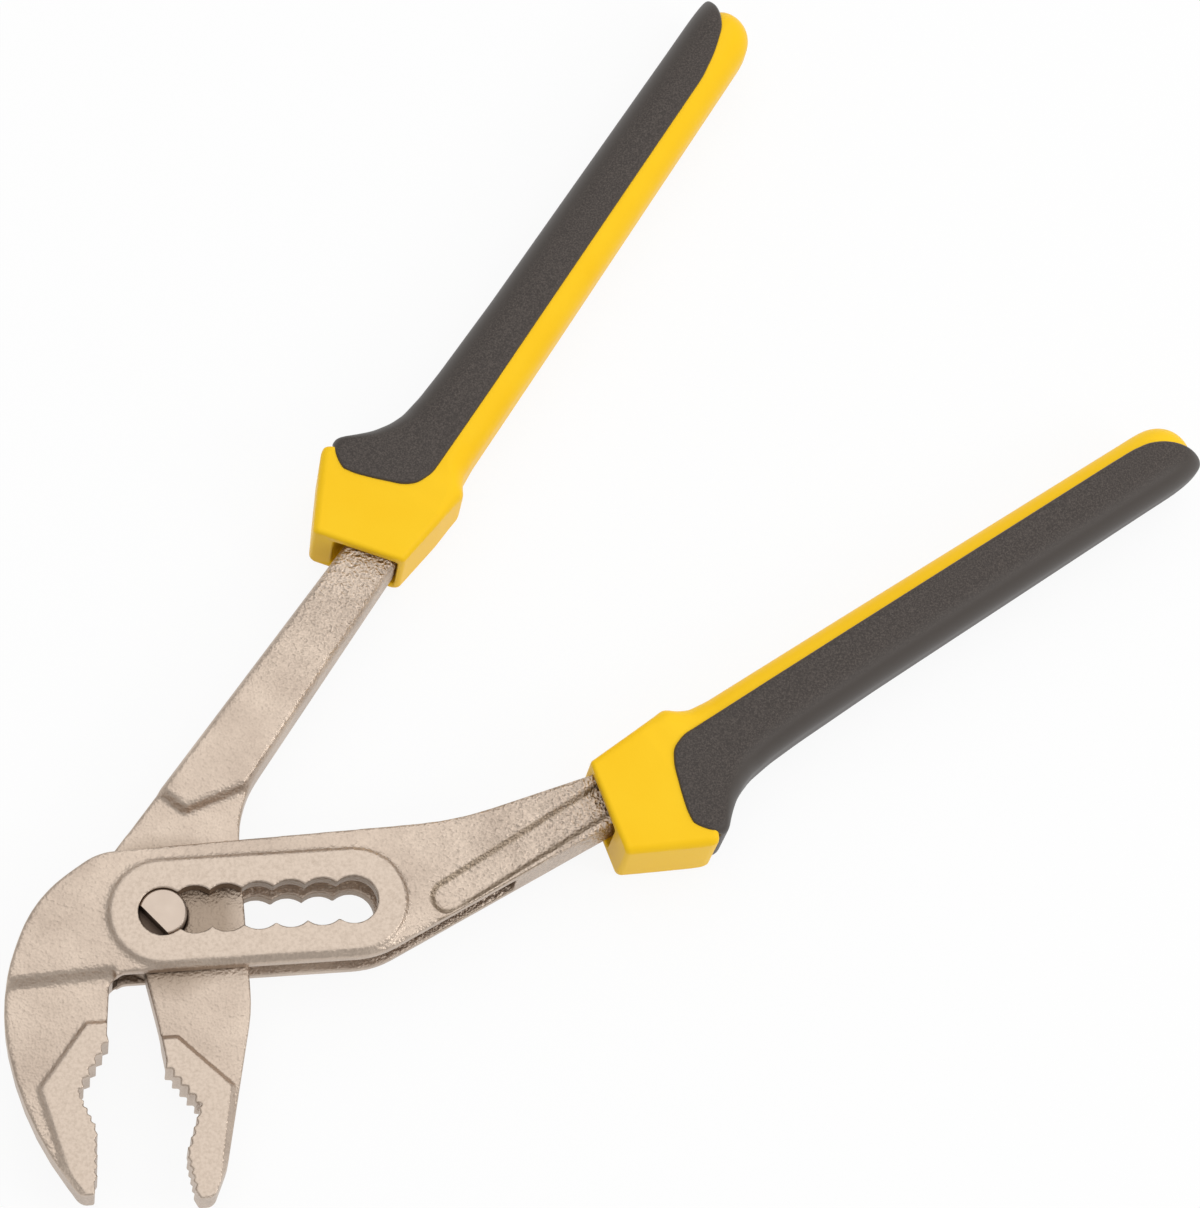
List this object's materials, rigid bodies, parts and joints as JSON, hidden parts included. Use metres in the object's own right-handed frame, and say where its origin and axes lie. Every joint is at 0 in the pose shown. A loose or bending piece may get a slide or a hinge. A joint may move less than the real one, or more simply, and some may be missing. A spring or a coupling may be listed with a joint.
{
  "type": "water pump pliers",
  "caption": "Box-joint water pump pliers: slotted outer lever, inner lever running through it, sliding pivot pin, toothed angled jaws, and grips with finger guards and soft covers.",
  "frame": {"origin": "centre of the overall extents at the lowest face, with the tool lying on its back", "axes": "+X along the slot from the first pocket towards the handles, +Y from the outer lever's handle towards the inner lever's handle, +Z through the thickness, up"},
  "size_m": [0.2384, 0.2366, 0.0166],
  "materials": {
    "forged_steel": "drop-forged steel with a satin champagne nickel coat",
    "pin_steel": "turned steel, ground end faces",
    "hard_plastic": "moulded yellow plastic, satin",
    "soft_cover": "over-moulded soft elastomer, fine grained"
  },
  "bodies": {
    "outer": {"outer_lever": "forged_steel", "outer_grip_sleeve": "hard_plastic", "outer_grip_cover": "soft_cover"},
    "slider": {"pivot_pin": "pin_steel"},
    "inner": {"inner_lever": "forged_steel", "inner_grip_sleeve": "hard_plastic", "inner_grip_cover": "soft_cover"}
  },
  "joints": [
    {"name": "slot_slide", "type": "slide", "parent": "outer", "child": "slider", "axis": [1, 0, 0], "range_m": [0, 0.0348]},
    {"name": "handle_hinge", "type": "hinge", "parent": "slider", "child": "inner", "pos_m": [-0.08968, -0.06546, 0.0083], "axis": [0, 0, 1], "range_deg": [-19, 50]}
  ]
}
